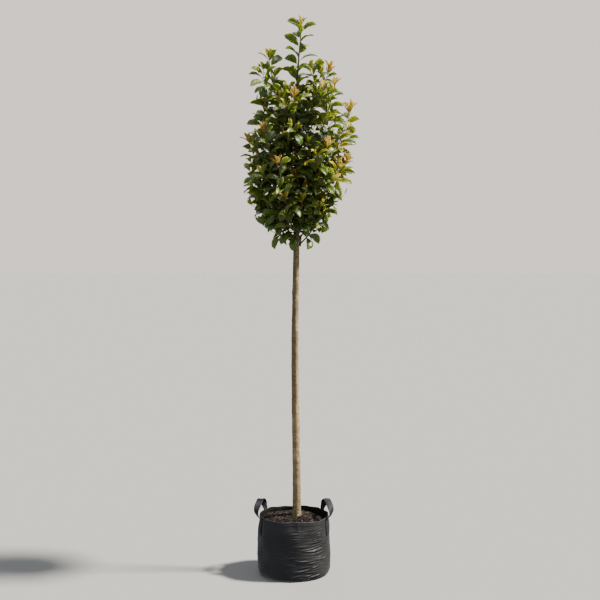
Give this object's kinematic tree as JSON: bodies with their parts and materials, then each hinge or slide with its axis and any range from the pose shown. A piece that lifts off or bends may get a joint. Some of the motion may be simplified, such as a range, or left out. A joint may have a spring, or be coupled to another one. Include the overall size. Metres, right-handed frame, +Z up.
{
  "type": "potted tree",
  "caption": "Standard photinia: a straight clear stem with a narrow leafy head of rising shoots, standing in a round black fabric grow bag of compost with two carrying straps.",
  "frame": {"origin": "middle of the grow bag's flat underside, on the ground", "axes": "+Z up along the stem, -Y towards the front, +X to the right, with a carrying strap on each side at -X and +X"},
  "size_m": [0.6042, 0.5029, 2.7969],
  "materials": {
    "bag_fabric": "black coated woven fabric, thin, with soft horizontal wrinkles and a low sheen",
    "strap_webbing": "black woven strap, matte",
    "compost": "dark brown crumbly compost with bark bits",
    "bark": "smooth grey-olive bark with fine cross lenticels",
    "foliage": "glossy evergreen leaves"
  },
  "bodies": {
    "root": {"bough_back_left": "bark", "bough_back_right": "bark", "bough_foot_back_left": "bark", "bough_foot_back_right": "bark", "bough_foot_front": "bark", "bough_foot_left": "bark", "bough_foot_right": "bark", "bough_front_left": "bark", "bough_front_right": "bark", "bough_high_back": "bark", "bough_high_front": "bark", "bough_high_left": "bark", "bough_high_right": "bark", "bough_low_back": "bark", "bough_low_front": "bark", "bough_low_left": "bark", "bough_low_right": "bark", "bough_top_left": "bark", "bough_top_right": "bark", "bough_wide_left": "bark", "bough_wide_right": "bark", "compost": "compost", "foliage_back_left": "foliage", "foliage_back_right": "foliage", "foliage_foot_back_left": "foliage", "foliage_foot_back_right": "foliage", "foliage_foot_front": "foliage", "foliage_foot_left": "foliage", "foliage_foot_right": "foliage", "foliage_front_left": "foliage", "foliage_front_right": "foliage", "foliage_high_back": "foliage", "foliage_high_front": "foliage", "foliage_high_left": "foliage", "foliage_high_right": "foliage", "foliage_leader": "foliage", "foliage_low_back": "foliage", "foliage_low_front": "foliage", "foliage_low_left": "foliage", "foliage_low_right": "foliage", "foliage_spur_1": "foliage", "foliage_spur_2": "foliage", "foliage_spur_3": "foliage", "foliage_spur_4": "foliage", "foliage_top_left": "foliage", "foliage_top_right": "foliage", "foliage_wide_left": "foliage", "foliage_wide_right": "foliage", "grow_bag": "bag_fabric", "strap_left": "strap_webbing", "strap_right": "strap_webbing", "trunk": "bark"}
  },
  "joints": []
}
